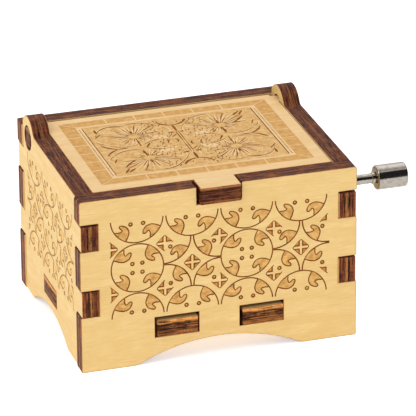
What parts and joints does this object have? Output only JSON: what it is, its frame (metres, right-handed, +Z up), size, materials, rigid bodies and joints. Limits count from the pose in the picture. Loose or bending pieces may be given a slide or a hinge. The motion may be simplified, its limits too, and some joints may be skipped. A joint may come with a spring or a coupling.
{
  "type": "hand-cranked music box",
  "caption": "Small finger-jointed plywood box with arched feet and a lift-up lid, holding a pinned-cylinder music movement turned by a bent-rod crank with a turned knob.",
  "frame": {"origin": "centre of the whole outline, crank and lid tab included, on the surface that the box stands on", "axes": "+X towards the crank side, +Y towards the hinge side (back), +Z up"},
  "size_m": [0.0814, 0.0534, 0.0447],
  "materials": {
    "case_plywood": "bare laser-cut plywood, burnt brown on the cut edges and in the engraving",
    "lid_plywood": "bare laser-cut plywood, engraved",
    "nickel_plate": "bright nickel plate",
    "steel": "plain steel, satin",
    "zinc_casting": "zinc die casting, satin",
    "brass": "satin brass",
    "lead": "dull lead"
  },
  "bodies": {
    "case": {"front_panel": "case_plywood", "back_panel": "case_plywood", "left_panel": "case_plywood", "right_panel": "case_plywood", "base_panel": "case_plywood", "bedplate": "zinc_casting", "front_bridge": "steel", "back_bridge": "steel", "worm_bracket": "steel", "comb": "steel", "bass_weight_1": "lead", "bass_weight_2": "lead", "bass_weight_3": "lead", "bass_weight_4": "lead", "bass_weight_5": "lead", "comb_screw_1": "steel", "comb_screw_2": "steel", "bracket_screw_1": "steel", "bracket_screw_2": "steel", "front_bridge_screw": "steel", "back_bridge_screw": "steel", "mounting_screw_1": "nickel_plate", "mounting_screw_2": "nickel_plate", "mounting_screw_3": "nickel_plate"},
    "lid": {"lid": "lid_plywood"},
    "crank": {"crank_rod": "nickel_plate", "worm": "steel"},
    "knob": {"crank_knob": "nickel_plate"},
    "cylinder": {"cylinder": "brass", "arbor": "steel", "worm_wheel": "brass"}
  },
  "joints": [
    {"name": "lid_hinge", "type": "hinge", "parent": "case", "child": "lid", "pos_m": [-0.00839, 0.0181, 0.03948], "axis": [-1, 0, 0], "range_deg": [0, 130]},
    {"name": "cylinder_turn", "type": "hinge", "parent": "case", "child": "cylinder", "pos_m": [-0.00139, -0.00658, 0.0196], "axis": [0, 1, 0], "continuous": true},
    {"name": "crank_turn", "type": "hinge", "parent": "case", "child": "crank", "pos_m": [0.02621, 0.00643, 0.0266], "axis": [1, 0, 0], "continuous": true},
    {"name": "knob_spin", "type": "hinge", "parent": "crank", "child": "knob", "pos_m": [0.03701, -0.01091, 0.03144], "axis": [1, 0, 0], "continuous": true}
  ],
  "couplings": [
    {"joint": "cylinder_turn", "follows": "crank_turn", "ratio": -0.055556}
  ]
}
